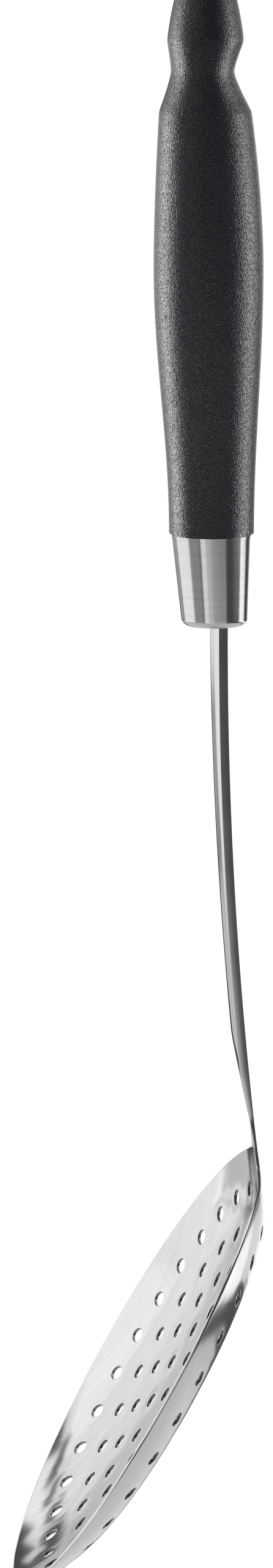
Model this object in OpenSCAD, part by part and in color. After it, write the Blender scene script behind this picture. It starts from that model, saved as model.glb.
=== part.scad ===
// Skimmer: a steel blade whose perforated bowl, neck, stem and tang are one forged
// and pressed piece, a tapered steel ferrule, and a moulded handle pinned to the tang.
// The origin is the centre of the hanging hole, +Z runs up the handle,
// and the hollow of the bowl faces -Y.

/* [Bowl] */
// Inside diameter of the bowl at its rim
bowl_d = 115.5; // [100:0.5:140]
// Diameter of the gently domed floor
floor_d = 84; // [74:1:92]
// Radius of the floor's curve
floor_r = 250; // [200:5:400]
// Radius of the curve between floor and rim
wall_r = 30.5; // [26:0.5:40]
// Thickness of the sheet
sheet_t = 0.8; // [0.6:0.05:1.2]
// Lean of the rim's plane from the vertical, in degrees
bowl_tilt = 30.2; // [15:0.1:40]

/* [Drain holes] */
// Number of rings of holes round the middle hole
hole_rings = 5; // [3:1:5]
// Distance between the rings
ring_pitch = 10; // [9:0.1:10.4]
// Holes in the first ring, and added by each ring after it
holes_per_ring = 6; // [4:1:6]
// Diameter of a hole
hole_d = 3.6; // [2.5:0.1:4.5]

/* [Neck and stem] */
// Width of the flat where the neck's plane cuts the rim
neck_w = 34; // [28:0.5:44]
// Radius of the flare between the stem's side and the rim
flare_r = 9; // [6:0.5:11]
// Straight length of the neck above the rim
neck_l = 9.5; // [6:0.5:14]
// Lean of the neck from the vertical, in degrees
neck_lean = 6.5; // [3:0.1:10]
// Length of the bowed stem between ferrule and neck
stem_l = 118; // [90:1:150]
// Width of the stem
stem_w = 10; // [8:0.1:11]
// Thickness of the stem at the ferrule, crown included
stem_t = 3.9; // [3.4:0.1:4.4]
// Thickness of the stem where its wedge begins
wedge_t = 3.1; // [2.6:0.1:3.3]
// Length of the wedge that thins the stem down to the sheet
wedge_l = 22; // [14:0.5:26]
// Height of the stem's flat sides, below the crown
stem_side = 2.1; // [1.6:0.1:2.5]
// Distance of the stem's back behind the hanging hole
stem_back = 5.2; // [4.4:0.1:5.8]

/* [Tang] */
// Length of the tang inside the handle's nose and grip
tang_l = 62; // [40:1:80]
// Width of the tang
tang_w = 7; // [6:0.1:8]
// Thickness of the tang
tang_t = 3; // [2.4:0.1:3.3]
// Diameter of the hidden pin through nose and tang
pin_d = 2.5; // [2:0.1:3]
// Hidden pin, below the handle's lower end
pin_drop = 9.5; // [6:0.1:12]

/* [Ferrule] */
// Height of the ferrule
ferrule_h = 21; // [18:0.5:26]
// Outside diameter at the handle
ferrule_top_d = 18; // [17:0.1:18.6]
// Outside diameter at the foot, before its corner is rounded
ferrule_foot_d = 15; // [14:0.1:16]
// Wall of the ferrule
ferrule_t = 0.8; // [0.6:0.05:1]
// Radius of the rounded foot
ferrule_round = 2.2; // [1.5:0.1:3]
// Distance of the ferrule's axis behind the hanging hole
ferrule_back = 1.9; // [1.4:0.1:2.4]

/* [Handle] */
// From the hanging hole down to the ferrule
handle_drop = 125.5; // [110:0.5:140]
// From the hanging hole up to the handle's top
handle_rise = 7.5; // [7:0.1:10]
// Depth of the handle, front to back, at the ferrule
end_depth = 19.4; // [18.8:0.1:21]
// Width of the handle at the ferrule
end_width = 19.2; // [18.8:0.1:21]
// Depth at the fullest part of the grip
grip_depth = 24.9; // [22:0.1:28]
// Width at the fullest part of the grip
grip_width = 24; // [21:0.1:28]
// Fullest part of the grip, below the hanging hole
grip_drop = 64.5; // [50:0.5:80]
// Depth at the shoulder under the waist
shoulder_depth = 20.9; // [19:0.1:23]
// Width at the shoulder under the waist
shoulder_width = 21; // [19:0.1:23]
// Shoulder, below the hanging hole
shoulder_drop = 29.7; // [27:0.1:34]
// Depth of the waist
waist_depth = 14.2; // [12:0.1:16]
// Width of the waist
waist_width = 19.4; // [16:0.1:21]
// Waist, below the hanging hole
waist_drop = 20.8; // [19:0.1:23]
// Depth of the pommel
pommel_depth = 17.3; // [16:0.1:19]
// Width of the pommel
pommel_width = 19.2; // [18:0.1:22]
// Fullest part of the pommel, below the hanging hole
pommel_drop = 14; // [12:0.1:16]
// Set-back of the handle's middle line at the ferrule
end_back = 1.6; // [1.2:0.1:2]
// Set-back of the handle's middle line at the fullest part of the grip
grip_back = 0.8; // [0:0.1:2]
// Set-forward of the handle's middle line at the waist
waist_forward = 0.65; // [0:0.05:1.5]
// Rounding of the handle's lower edge
end_round = 0.6; // [0.4:0.1:1.5]

/* [Hanging hole] */
// Diameter of the hanging hole
hang_d = 6; // [5:0.1:6.6]
// Length of the hole between its two recesses
hang_l = 8; // [6:0.1:8.4]
// Diameter of the recess round each end of the hole
recess_d = 8.6; // [8:0.1:10]

/* [Fits] */
// Gap round the tang in its socket
tang_gap = 0.1; // [0.05:0.05:0.3]
// Gap between ferrule and nose
nose_gap = 0.15; // [0.05:0.05:0.3]
// Gap between the stem's top and the nose
shoulder_gap = 0.3; // [0.1:0.1:1]
// Gap round the stem in the ferrule's slot
slot_gap = 0.2; // [0.1:0.05:0.4]
// Gap round the hidden pin
pin_gap = 0.05; // [0.02:0.01:0.1]

/* [Hidden] */
$fn = 96;
// Edge of the blocks that cut away half of the space
cut = 300;

// Bowl section: floor arc and wall arc meet on a common tangent
rim_r = bowl_d / 2;
floor_edge = floor_d / 2;
floor_angle = asin(floor_edge / floor_r);
wall_axis = floor_edge - wall_r * sin(floor_angle);
rim_angle = asin((rim_r - wall_axis) / wall_r);
wall_rise = wall_r * cos(rim_angle);
floor_rise = wall_rise + (floor_r - wall_r) * cos(floor_angle);

// Neck: its flat plane cuts the rim along a chord, and its sides flare tangent to the rim
neck_reach = sqrt(pow(rim_r, 2) - pow(neck_w / 2, 2));
neck_slope = bowl_tilt + neck_lean;
flare_reach = sqrt(pow(rim_r + flare_r, 2) - pow(stem_w / 2 + flare_r, 2));
// Width between the points where the flares meet the rim
flare_w = bowl_d * (stem_w / 2 + flare_r) / (rim_r + flare_r);
// The flat plate is longer than the flare by this much and ends inside the stem
plate_lap = 3;
plate_l = (flare_reach - neck_reach) / cos(neck_slope) + plate_lap;

// Stem: an arc in the mirror plane, upright at the ferrule and leaning like the neck at its end
foot_z = -handle_drop - ferrule_h;
stem_bow = stem_l * 180 / PI / neck_lean;
// The full section of the stem ends this far above the ferrule's foot, and the tang goes on
stem_stub = 1;
stem_top = foot_z + ferrule_t + stem_stub;
// Below the wedge the stem runs on inside the plate for this length, slimmer by the inset
lap_l = 3;
lap_inset = 0.1;

// Nose of the handle inside the ferrule
ferrule_taper = (ferrule_top_d - ferrule_foot_d) / 2 / ferrule_h;
nose_foot = stem_top + shoulder_gap;
pin_z = -handle_drop - pin_drop;
tang_mid = stem_back - stem_t / 2;

// Handle: superellipse rings, whose sizes swell between the named places by these powers
ring_points = 40;
ring_power = 2.2;
shoulder_power = 1.7;
waist_power = 1.25;
dome_power = 1.2;
dome_round = 0.45;
// The handle's top is flat this far below the point of its dome
tip_flat = 0.15;

function mix(a, b, t) = a + (b - a) * t;
function ease(t) = (1 - cos(180 * t)) / 2;
function signed_pow(v, p) = sign(v) * pow(abs(v), p);

// Half width of the flared neck at a distance from the bowl's middle
function neck_half(v) = v >= flare_reach ? stem_w / 2 :
    stem_w / 2 + flare_r - sqrt(max(0, pow(flare_r, 2) - pow(v - flare_reach, 2)));

// Slope of the bowl's wall at radius r
function bowl_angle(r) = r <= floor_edge ? asin(r / floor_r) : asin((r - wall_axis) / wall_r);
function bowl_depth(r) = r <= floor_edge ? floor_rise - floor_r * cos(bowl_angle(r)) :
    wall_rise - wall_r * cos(bowl_angle(r));

// Stem path: lean, and a point [y, z] on its back, at distance s below the ferrule
function stem_lean(s) = neck_lean * min(s, stem_l) / stem_l;
function stem_point(s) = s <= stem_l ?
    [stem_back + stem_bow * (1 - cos(stem_lean(s))), foot_z - stem_bow * sin(stem_lean(s))] :
    stem_point(stem_l) + (s - stem_l) * [sin(neck_lean), -cos(neck_lean)];
function stem_total(s) = s <= stem_l - wedge_l ? mix(stem_t, wedge_t, s / (stem_l - wedge_l)) :
    mix(wedge_t, sheet_t, (s - stem_l + wedge_l) / wedge_l);
// Half width of the stem: it follows the neck's flare, which is measured in the bowl's plane
function stem_half(s) = neck_half(neck_reach + (stem_l + neck_l - s) * cos(neck_slope));

// Middle of the bowl's rim
rim_point = stem_point(stem_l + neck_l) - sheet_t * [cos(neck_lean), sin(neck_lean)];
bowl_y = rim_point[0] - neck_reach * sin(bowl_tilt);
bowl_z = rim_point[1] - neck_reach * cos(bowl_tilt);

// Solid skin over a list of rings that all have the same number of points
module loft(rings) {
    n = len(rings[0]);
    last = len(rings) - 1;
    sides = [
        for (i = [0:last - 1], j = [0:n - 1])
            each [[i * n + j, i * n + (j + 1) % n, (i + 1) * n + j],
                [i * n + (j + 1) % n, (i + 1) * n + (j + 1) % n, (i + 1) * n + j]]
    ];
    bottom = [for (j = [0:n - 1]) n - 1 - j];
    top = [for (j = [0:n - 1]) last * n + j];
    polyhedron([for (r = rings) each r], concat(sides, [bottom, top]));
}

// Hollow of the bowl, with its floor and wall set back by a thickness
module bowl_hollow(thick) {
    reach = 2 * floor_r;
    translate([wall_axis, wall_rise]) circle(wall_r + thick, $fn = 180);
    intersection() {
        translate([0, floor_rise]) circle(floor_r + thick, $fn = 360);
        polygon([[0, floor_rise], [0, floor_rise - reach],
            [reach * sin(floor_angle), floor_rise - reach * cos(floor_angle)]]);
    }
}

// Section of the bowl's sheet, cut square at the rim
module bowl_section(thick) {
    intersection() {
        difference() {
            bowl_hollow(thick);
            bowl_hollow(0);
        }
        polygon([[0, wall_rise], [wall_axis, wall_rise],
            [wall_axis + 2 * wall_r * sin(rim_angle), wall_rise - 2 * wall_r * cos(rim_angle)],
            [0, wall_rise - 2 * wall_r]]);
    }
}

// Everything in front of a plane that lies behind the neck's front face by the given distance
module before_neck(behind) {
    translate([0, neck_reach, 0])
        rotate([neck_slope, 0, 0])
            translate([-cut / 2, -cut / 2, -behind])
                cube(cut);
}

// Pressed bowl, open where the flat neck takes the place of its wall
module bowl_shell() {
    intersection() {
        rotate_extrude($fn = 180) bowl_section(sheet_t);
        before_neck(sheet_t / 2);
    }
}

// Outline of the flared neck, seen square to the rim's plane
module neck_outline() {
    difference() {
        translate([-flare_w / 2, neck_reach - plate_lap])
            square([flare_w, flare_reach - neck_reach + 3 * plate_lap]);
        for (side = [-1, 1]) {
            translate([side * (stem_w / 2 + flare_r), flare_reach]) circle(flare_r);
            translate([side * (stem_w / 2 + flare_r) - flare_r, flare_reach])
                square([2 * flare_r, 3 * plate_lap]);
        }
    }
}

// Flat plate of the neck: flared above the rim, and ending inside the bowl's wall below it
module neck_plate() {
    intersection() {
        translate([0, neck_reach, 0])
            rotate([neck_slope, 0, 0])
                translate([-neck_w, -neck_w, -sheet_t])
                    cube([2 * neck_w, neck_w + plate_l, sheet_t]);
        union() {
            rotate_extrude($fn = 180)
                intersection() {
                    translate([wall_axis, wall_rise]) circle(wall_r + sheet_t / 2, $fn = 180);
                    translate([0, wall_rise - 2 * wall_r]) square([rim_r * 2, 2 * wall_r - wall_rise]);
                }
            translate([0, 0, -sheet_t]) linear_extrude(cut / 2) neck_outline();
        }
    }
}

// Stem with flat back and sides and a crowned front, thinned to a wedge that laps the neck
module stem() {
    crown_points = 9;
    top_s = foot_z - stem_top;
    wedge_s = stem_l - wedge_l;
    end_s = stem_l + lap_l;
    upper_steps = 10;
    wedge_steps = 18;
    stops = concat([for (i = [0:upper_steps - 1]) mix(top_s, wedge_s, i / upper_steps)],
        [for (i = [0:wedge_steps]) mix(wedge_s, end_s, i / wedge_steps)]);
    // The lap begins where the plate ends inside the wedge
    lap_s = stem_l + neck_l - plate_l;
    loft([
        for (i = [len(stops) - 1:-1:0])
            let (s = stops[i], lean = stem_lean(s), total = stem_total(max(s, 0)),
                lapped = max(0, min(1, (s - lap_s) / (end_s - lap_s))),
                back = mix(-lap_inset, 2 * lap_inset, lapped),
                front = s <= stem_l ? total : mix(sheet_t, 4 * lap_inset, (s - stem_l) / lap_l),
                side = min(stem_side, front), crown = front - side,
                half = stem_half(s) - mix(0, lap_inset, lapped),
                base = s <= 0 ? [stem_back, foot_z - s] : stem_point(s),
                out = [-cos(lean), -sin(lean)],
                section = concat([[half, back], [half, side]],
                    [for (k = [1:crown_points - 2])
                        let (u = 1 - 2 * k / (crown_points - 1)) [half * u, side + crown * (1 - u * u)]],
                    [[-half, side], [-half, back]]))
            [for (p = section) [p[0], base[0] + p[1] * out[0], base[1] + p[1] * out[1]]]
    ]);
}

module drain_holes() {
    depth = 8 * sheet_t;
    translate([0, 0, bowl_depth(0)]) cylinder(h = depth, d = hole_d, center = true, $fn = 48);
    for (ring = [1:hole_rings], k = [0:ring * holes_per_ring - 1]) {
        r = ring * ring_pitch;
        rotate([0, 0, k * 360 / (ring * holes_per_ring) + 90])
            translate([r, 0, bowl_depth(r)])
                rotate([0, -bowl_angle(r), 0])
                    cylinder(h = depth, d = hole_d, center = true, $fn = 48);
    }
}

module blade() {
    color("silver")
        difference() {
            union() {
                translate([0, bowl_y, bowl_z])
                    rotate([90 - bowl_tilt, 0, 0]) {
                        difference() {
                            union() {
                                bowl_shell();
                                neck_plate();
                            }
                            drain_holes();
                        }
                    }
                stem();
                translate([-tang_w / 2, tang_mid - tang_t / 2, foot_z])
                    cube([tang_w, tang_t, tang_l]);
            }
            translate([0, tang_mid, pin_z])
                rotate([90, 0, 0])
                    cylinder(h = 2 * tang_t, d = pin_d + 2 * pin_gap, center = true);
        }
}

// Radius of the ferrule at height h above its foot
function ferrule_r(h) = ferrule_foot_d / 2 + ferrule_taper * h;

// Filled outline of the ferrule, drawn in by an inset
module ferrule_outline(inset, top) {
    round_axis = ferrule_r(ferrule_round) - ferrule_round;
    intersection() {
        union() {
            polygon([[0, ferrule_round], [ferrule_r(ferrule_round) - inset, ferrule_round],
                [ferrule_r(top) - inset, top], [0, top]]);
            translate([0, inset]) square([round_axis, ferrule_round]);
            translate([round_axis, ferrule_round]) circle(ferrule_round - inset);
        }
        square([2 * ferrule_top_d, top]);
    }
}

module stem_slot() {
    translate([-stem_w / 2 - slot_gap, stem_back - stem_t - slot_gap, foot_z - ferrule_round])
        cube([stem_w + 2 * slot_gap, stem_t + 2 * slot_gap, 2 * ferrule_round]);
}

module ferrule() {
    color("gainsboro")
        difference() {
            translate([0, ferrule_back, foot_z])
                rotate_extrude()
                    difference() {
                        ferrule_outline(0, ferrule_h);
                        ferrule_outline(ferrule_t, 2 * ferrule_h);
                    }
            stem_slot();
        }
}

// Sizes of the handle: [width, depth, set-back of the middle line]
end_size = [end_width, end_depth, end_back];
grip_size = [grip_width, grip_depth, grip_back];
shoulder_size = [shoulder_width, shoulder_depth, 0];
waist_size = [waist_width, waist_depth, -waist_forward];
pommel_size = [pommel_width, pommel_depth, 0];
function part_way(z, from, to) = (z - from) / (to - from);
function dome(t) = pow(1 - pow(t, dome_power), dome_round);
function handle_size(z) =
    z <= -grip_drop ? mix(grip_size, end_size, ease(part_way(z, -grip_drop, -handle_drop))) :
    z <= -shoulder_drop ?
        mix(grip_size, shoulder_size, pow(part_way(z, -grip_drop, -shoulder_drop), shoulder_power)) :
    z <= -waist_drop ?
        mix(waist_size, shoulder_size, pow(part_way(z, -waist_drop, -shoulder_drop), waist_power)) :
    z <= -pommel_drop ?
        mix(waist_size, pommel_size, pow(part_way(z, -waist_drop, -pommel_drop), waist_power)) :
    pommel_size * dome(part_way(z, -pommel_drop, handle_rise));
function handle_ring(z, inset = 0) = [
    for (k = [0:ring_points - 1])
        let (a = -360 * k / ring_points, size = handle_size(z))
            [(size[0] / 2 - inset) * signed_pow(cos(a), 2 / ring_power),
                size[2] + (size[1] / 2 - inset) * signed_pow(sin(a), 2 / ring_power), z]
];

module handle_body() {
    // Each stretch of the outline with its number of rings
    stretches = [[-handle_drop + end_round, -grip_drop, 9], [-grip_drop, -shoulder_drop, 6],
        [-shoulder_drop, -waist_drop, 4], [-waist_drop, -pommel_drop, 4]];
    dome_steps = 10;
    loft(concat(
        [for (a = [90:-30:30])
            handle_ring(-handle_drop + end_round * (1 - sin(a)), end_round * (1 - cos(a)))],
        [for (s = stretches, i = [0:s[2] - 1]) handle_ring(mix(s[0], s[1], i / s[2]))],
        [for (i = [0:dome_steps])
            handle_ring(mix(-pommel_drop, handle_rise - tip_flat, sin(90 * i / dome_steps)))]));
}

// Radius of the handle's nose at height h above the ferrule's foot
function nose_r(h) = ferrule_r(h) - ferrule_t - nose_gap;

// Nose that fills the ferrule, rooted inside the handle's lower end
module nose() {
    low = nose_foot - foot_z;
    root = ferrule_h + 2 * end_round;
    translate([0, ferrule_back, foot_z])
        rotate_extrude()
            polygon([[0, low], [nose_r(low), low], [nose_r(ferrule_h), ferrule_h],
                [nose_r(ferrule_h), root], [0, root]]);
}

module handle() {
    color("black")
        difference() {
            union() {
                handle_body();
                nose();
            }
            // Hanging hole, with a flat recess round each end
            rotate([90, 0, 0]) cylinder(h = 2 * pommel_depth, d = hang_d, center = true);
            for (side = [0, 180])
                rotate([90, 0, side])
                    translate([0, 0, hang_l / 2]) cylinder(h = pommel_depth, d = recess_d);
            // Socket of the tang
            translate([-tang_w / 2 - tang_gap, tang_mid - tang_t / 2 - tang_gap, foot_z])
                cube([tang_w + 2 * tang_gap, tang_t + 2 * tang_gap, tang_l + tang_gap]);
            tang_pin_hole();
        }
}

// The hidden pin ends just inside the nose's surface
pin_l = 2 * (nose_r(pin_z - foot_z) - nose_gap);
module tang_pin_hole() {
    translate([0, ferrule_back, pin_z])
        rotate([90, 0, 0])
            cylinder(h = ferrule_top_d, d = pin_d + 2 * pin_gap, center = true);
}

module tang_pin() {
    color("dimgray")
        translate([0, ferrule_back, pin_z])
            rotate([90, 0, 0])
                cylinder(h = pin_l, d = pin_d, center = true);
}

blade();
ferrule();
handle();
tang_pin();
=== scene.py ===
"""Skimmer: finished surfaces of blade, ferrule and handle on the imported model, with studio and camera.

Lengths are in metres and angles in degrees unless a name says otherwise. The origin is the centre of the
hanging hole, +Z runs up the handle, the bowl's hollow faces -Y, and X = 0 is the mirror plane.
"""

from __future__ import annotations

import logging
import math
from dataclasses import dataclass
from enum import Enum
from functools import cached_property
from typing import Any, Mapping, Sequence, Union

import bmesh
import bpy
import numpy as np
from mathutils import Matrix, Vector

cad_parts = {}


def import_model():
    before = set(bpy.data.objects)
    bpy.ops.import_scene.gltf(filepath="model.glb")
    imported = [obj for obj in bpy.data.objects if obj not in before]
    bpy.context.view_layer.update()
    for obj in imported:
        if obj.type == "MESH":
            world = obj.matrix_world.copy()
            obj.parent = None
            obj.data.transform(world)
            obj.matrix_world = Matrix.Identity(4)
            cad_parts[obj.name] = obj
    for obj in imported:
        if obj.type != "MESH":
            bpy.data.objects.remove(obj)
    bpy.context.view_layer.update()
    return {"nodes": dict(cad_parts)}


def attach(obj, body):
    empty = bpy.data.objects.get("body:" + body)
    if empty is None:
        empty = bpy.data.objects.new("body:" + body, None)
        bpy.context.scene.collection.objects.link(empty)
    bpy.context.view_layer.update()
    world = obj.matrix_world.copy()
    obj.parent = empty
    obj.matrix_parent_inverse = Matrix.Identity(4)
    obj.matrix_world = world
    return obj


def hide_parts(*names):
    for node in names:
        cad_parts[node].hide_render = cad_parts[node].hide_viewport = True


LOG = logging.getLogger("skimmer")
MM = 0.001
BODY = "root"
PHOTO_HEIGHT = 2560

Array = np.ndarray
Colour = tuple[float, float, float, float]
WHITE: Colour = (1.0, 1.0, 1.0, 1.0)


def blend(a: Any, b: Any, t: Any) -> Any:
    """Value on the straight way from a at t = 0 to b at t = 1."""
    return a + (b - a) * t


def smooth_max(a: Array, b: Array, reach: float) -> Array:
    """Larger of two fields, with the crease rounded where they differ by less than the reach."""
    overlap = np.maximum(reach - np.abs(a - b), 0.0)
    return np.maximum(a, b) + overlap**2 / (4 * reach)


def unit(vectors: Array) -> Array:
    """Vectors of length one along the last axis."""
    return vectors / np.linalg.norm(vectors, axis=-1, keepdims=True)


def points_of(x: Array, y: Array, z: Array) -> Array:
    """Coordinates stacked into points along a new last axis."""
    return np.stack(np.broadcast_arrays(x, y, z), axis=-1)


def full_turn(steps: int) -> Array:
    """Angles of a full turn in equal steps, in radians, without the last one, which is the first again."""
    return np.linspace(0, 2 * math.pi, steps, endpoint=False)


def box_loop(turn: Array, width: float, depth: float) -> tuple[Array, Array]:
    """X and y of a rectangle round the origin, met along rays at the given angles."""
    reach = 0.5 / np.maximum(np.abs(np.cos(turn)) / width, np.abs(np.sin(turn)) / depth)
    return reach * np.cos(turn), reach * np.sin(turn)


def capped(rows: Array) -> Array:
    """Rows of closed sections, with one more that is drawn together in the middle of the last."""
    middle = rows[-1:].mean(axis=1, keepdims=True)
    return np.concatenate([rows, np.broadcast_to(middle, rows[-1:].shape)])


def outwards(edge: Array, facing: Array) -> Array:
    """Unit vectors along a face and square to its closed edge, by the chord past each point."""
    along = np.roll(edge, -1, axis=-2) - np.roll(edge, 1, axis=-2)
    return unit(np.cross(along, facing))


class Skin:
    """A surface that grows by grids of points and becomes one welded, closed mesh."""

    weld = 1e-7

    def __init__(self) -> None:
        """Starts with no points."""
        self.points: list[Array] = []
        self.grain: list[Array] = []
        self.cut: list[Array] = []
        self.quads: list[Array] = []
        self.count = 0

    def add(
        self,
        grid: Array,
        closed: bool,
        grain: Array | None = None,
        holes: Array | None = None,
        cut: Array | float = 0.0,
    ) -> None:
        """Adds grids of points, with a quad between each four neighbours.

        Args:
            grid: Points as (rows, columns, 3), or (grids, rows, columns, 3) for several alike.
            closed: Whether the last column joins the first.
            grain: Surface coordinates of the points, as (..., 2), for a finish that follows the surface.
            holes: Mask of the quads to leave out, as (rows - 1, quads in a row).
            cut: Share of cut metal at the points, from 0 on a face to 1 on a cut edge, as (rows, columns);
                the steel darkens its colour there as painted shade.
        """
        grid = grid.reshape((-1,) + grid.shape[-3:])
        index = self.count + np.arange(grid[..., 0].size).reshape(grid.shape[:3])
        following = np.roll(index, -1, axis=2) if closed else index[:, :, 1:]
        current = index if closed else index[:, :, :-1]
        corners = [current[:, :-1], following[:, :-1], following[:, 1:], current[:, 1:]]
        quads = np.stack(corners, axis=-1)
        if holes is not None:
            quads = quads[:, ~holes]
        self.points.append(grid.reshape(-1, 3))
        self.grain.append(np.zeros((grid[..., 0].size, 2)) if grain is None else grain.reshape(-1, 2))
        self.cut.append(np.broadcast_to(cut, grid.shape[:-1]).ravel())
        self.quads.append(quads.reshape(-1, 4))
        self.count += grid[..., 0].size

    def build(self, name: str, crease: float) -> bpy.types.Object:
        """Makes the mesh object: doubles merged, faces outwards, smooth but for creases.

        Args:
            name: Name of the object.
            crease: Angle between faces, in degrees, above which their edge stays sharp.

        Returns:
            The object, linked to the scene.
        """
        mesh = bpy.data.meshes.new(name)
        mesh.from_pydata(np.concatenate(self.points), [], np.concatenate(self.quads))
        layer = mesh.attributes.new("grain", "FLOAT2", "POINT")
        layer.data.foreach_set("vector", np.concatenate(self.grain).astype(np.float32).ravel())
        layer = mesh.attributes.new("cut", "FLOAT", "POINT")
        layer.data.foreach_set("value", np.concatenate(self.cut).astype(np.float32))
        work = bmesh.new()
        work.from_mesh(mesh)
        bmesh.ops.remove_doubles(work, verts=work.verts, dist=self.weld)
        bmesh.ops.recalc_face_normals(work, faces=work.faces)
        work.to_mesh(mesh)
        work.free()
        mesh.polygons.foreach_set("use_smooth", np.ones(len(mesh.polygons), dtype=bool))
        mesh.set_sharp_from_angle(angle=math.radians(crease))
        piece = bpy.data.objects.new(name, mesh)
        bpy.context.scene.collection.objects.link(piece)
        return piece


Input = Union["Value", float, Sequence[float]]


class Value:
    """An output socket of a shader node that takes part in Python expressions."""

    def __init__(self, tree: Shader, socket: bpy.types.NodeSocket) -> None:
        """Wraps a socket of the given tree."""
        self.tree = tree
        self.socket = socket

    def math(self, operation: str, *others: Input) -> Value:
        """Result of a Math node on this value and others."""
        return self.tree.node("ShaderNodeMath", {"operation": operation}, dict(enumerate((self, *others))))

    def __add__(self, other: Input) -> Value:
        """self + other."""
        return self.math("ADD", other)

    def __mul__(self, other: Input) -> Value:
        """self * other."""
        return self.math("MULTIPLY", other)

    def __sub__(self, other: Input) -> Value:
        """self - other."""
        return self.math("SUBTRACT", other)

    def __rsub__(self, other: float) -> Value:
        """other - self."""
        return self.tree.node("ShaderNodeMath", {"operation": "SUBTRACT"}, {0: other, 1: self})

    def ramp(self, low: float, high: float, start: float = 0.0, end: float = 1.0) -> Value:
        """This value carried smoothly from the span low to high onto the span start to end."""
        settings = {"interpolation_type": "SMOOTHSTEP"}
        return self.tree.node("ShaderNodeMapRange", settings, {0: self, 1: low, 2: high, 3: start, 4: end})


class Shader:
    """Node tree of a material or world, filled by one method."""

    def __init__(self, owner: bpy.types.Material | bpy.types.World) -> None:
        """Empties the tree and adds its output node.

        Args:
            owner: Material or world that the tree belongs to.
        """
        owner.use_nodes = True
        self.tree = owner.node_tree
        self.tree.nodes.clear()
        kind = "ShaderNodeOutputWorld" if isinstance(owner, bpy.types.World) else "ShaderNodeOutputMaterial"
        self.output = self.tree.nodes.new(kind)

    def node(
        self,
        kind: str,
        settings: Mapping[str, Any],
        inputs: Mapping[str | int, Input],
        result: str | int = 0,
    ) -> Value:
        """Adds a node.

        Args:
            kind: The node's type.
            settings: Its properties, set before its sockets.
            inputs: Socket names or numbers, with the values or links that they take.
            result: Name or number of the output to return.

        Returns:
            The chosen output.
        """
        made = self.tree.nodes.new(kind)
        for name, setting in settings.items():
            setattr(made, name, setting)
        for name, given in inputs.items():
            if isinstance(given, Value):
                self.tree.links.new(given.socket, made.inputs[name])
            else:
                made.inputs[name].default_value = given
        return Value(self, made.outputs[result])

    def finish(self, surface: Value) -> None:
        """Joins a shader to the output."""
        self.tree.links.new(surface.socket, self.output.inputs["Surface"])

    def place(self, scale: Sequence[float], turn: Sequence[float] = (0.0, 0.0, 0.0)) -> Value:
        """Object coordinates, turned and then scaled.

        Args:
            scale: Units per metre along each axis.
            turn: Angles about the axes, in degrees.

        Returns:
            The coordinates as a vector.
        """
        where = self.node("ShaderNodeTexCoord", {}, {}, "Object")
        angles = tuple(math.radians(angle) for angle in turn)
        turned = self.node("ShaderNodeMapping", {}, {"Vector": where, "Rotation": angles})
        return self.scaled(turned, scale)

    def scaled(self, vector: Value, scale: Sequence[float]) -> Value:
        """A vector times a scale for each axis."""
        settings = {"operation": "MULTIPLY"}
        return self.node("ShaderNodeVectorMath", settings, {0: vector, 1: tuple(scale)})

    def noise(self, vector: Value, detail: float, roughness: float = 0.5) -> Value:
        """Noise between 0 and 1 at the given coordinates."""
        inputs = {"Vector": vector, "Scale": 1.0, "Detail": detail, "Roughness": roughness}
        return self.node("ShaderNodeTexNoise", {}, inputs, "Fac")

    def mix(self, factor: Value, first: Input, second: Input) -> Value:
        """Colour between two by a factor, through a Mix node's colour sockets, 6 and 7, and its output 2."""
        return self.node("ShaderNodeMix", {"data_type": "RGBA"}, {0: factor, 6: first, 7: second}, 2)

    def attribute(self, name: str, result: str) -> Value:
        """A point attribute of the mesh, as a vector or as a number."""
        return self.node("ShaderNodeAttribute", {"attribute_name": name}, {}, result)


class Brushing(Enum):
    """How the brush lines of a steel surface run."""

    LENGTHWISE = "lengthwise"
    ROUND = "round"


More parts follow.
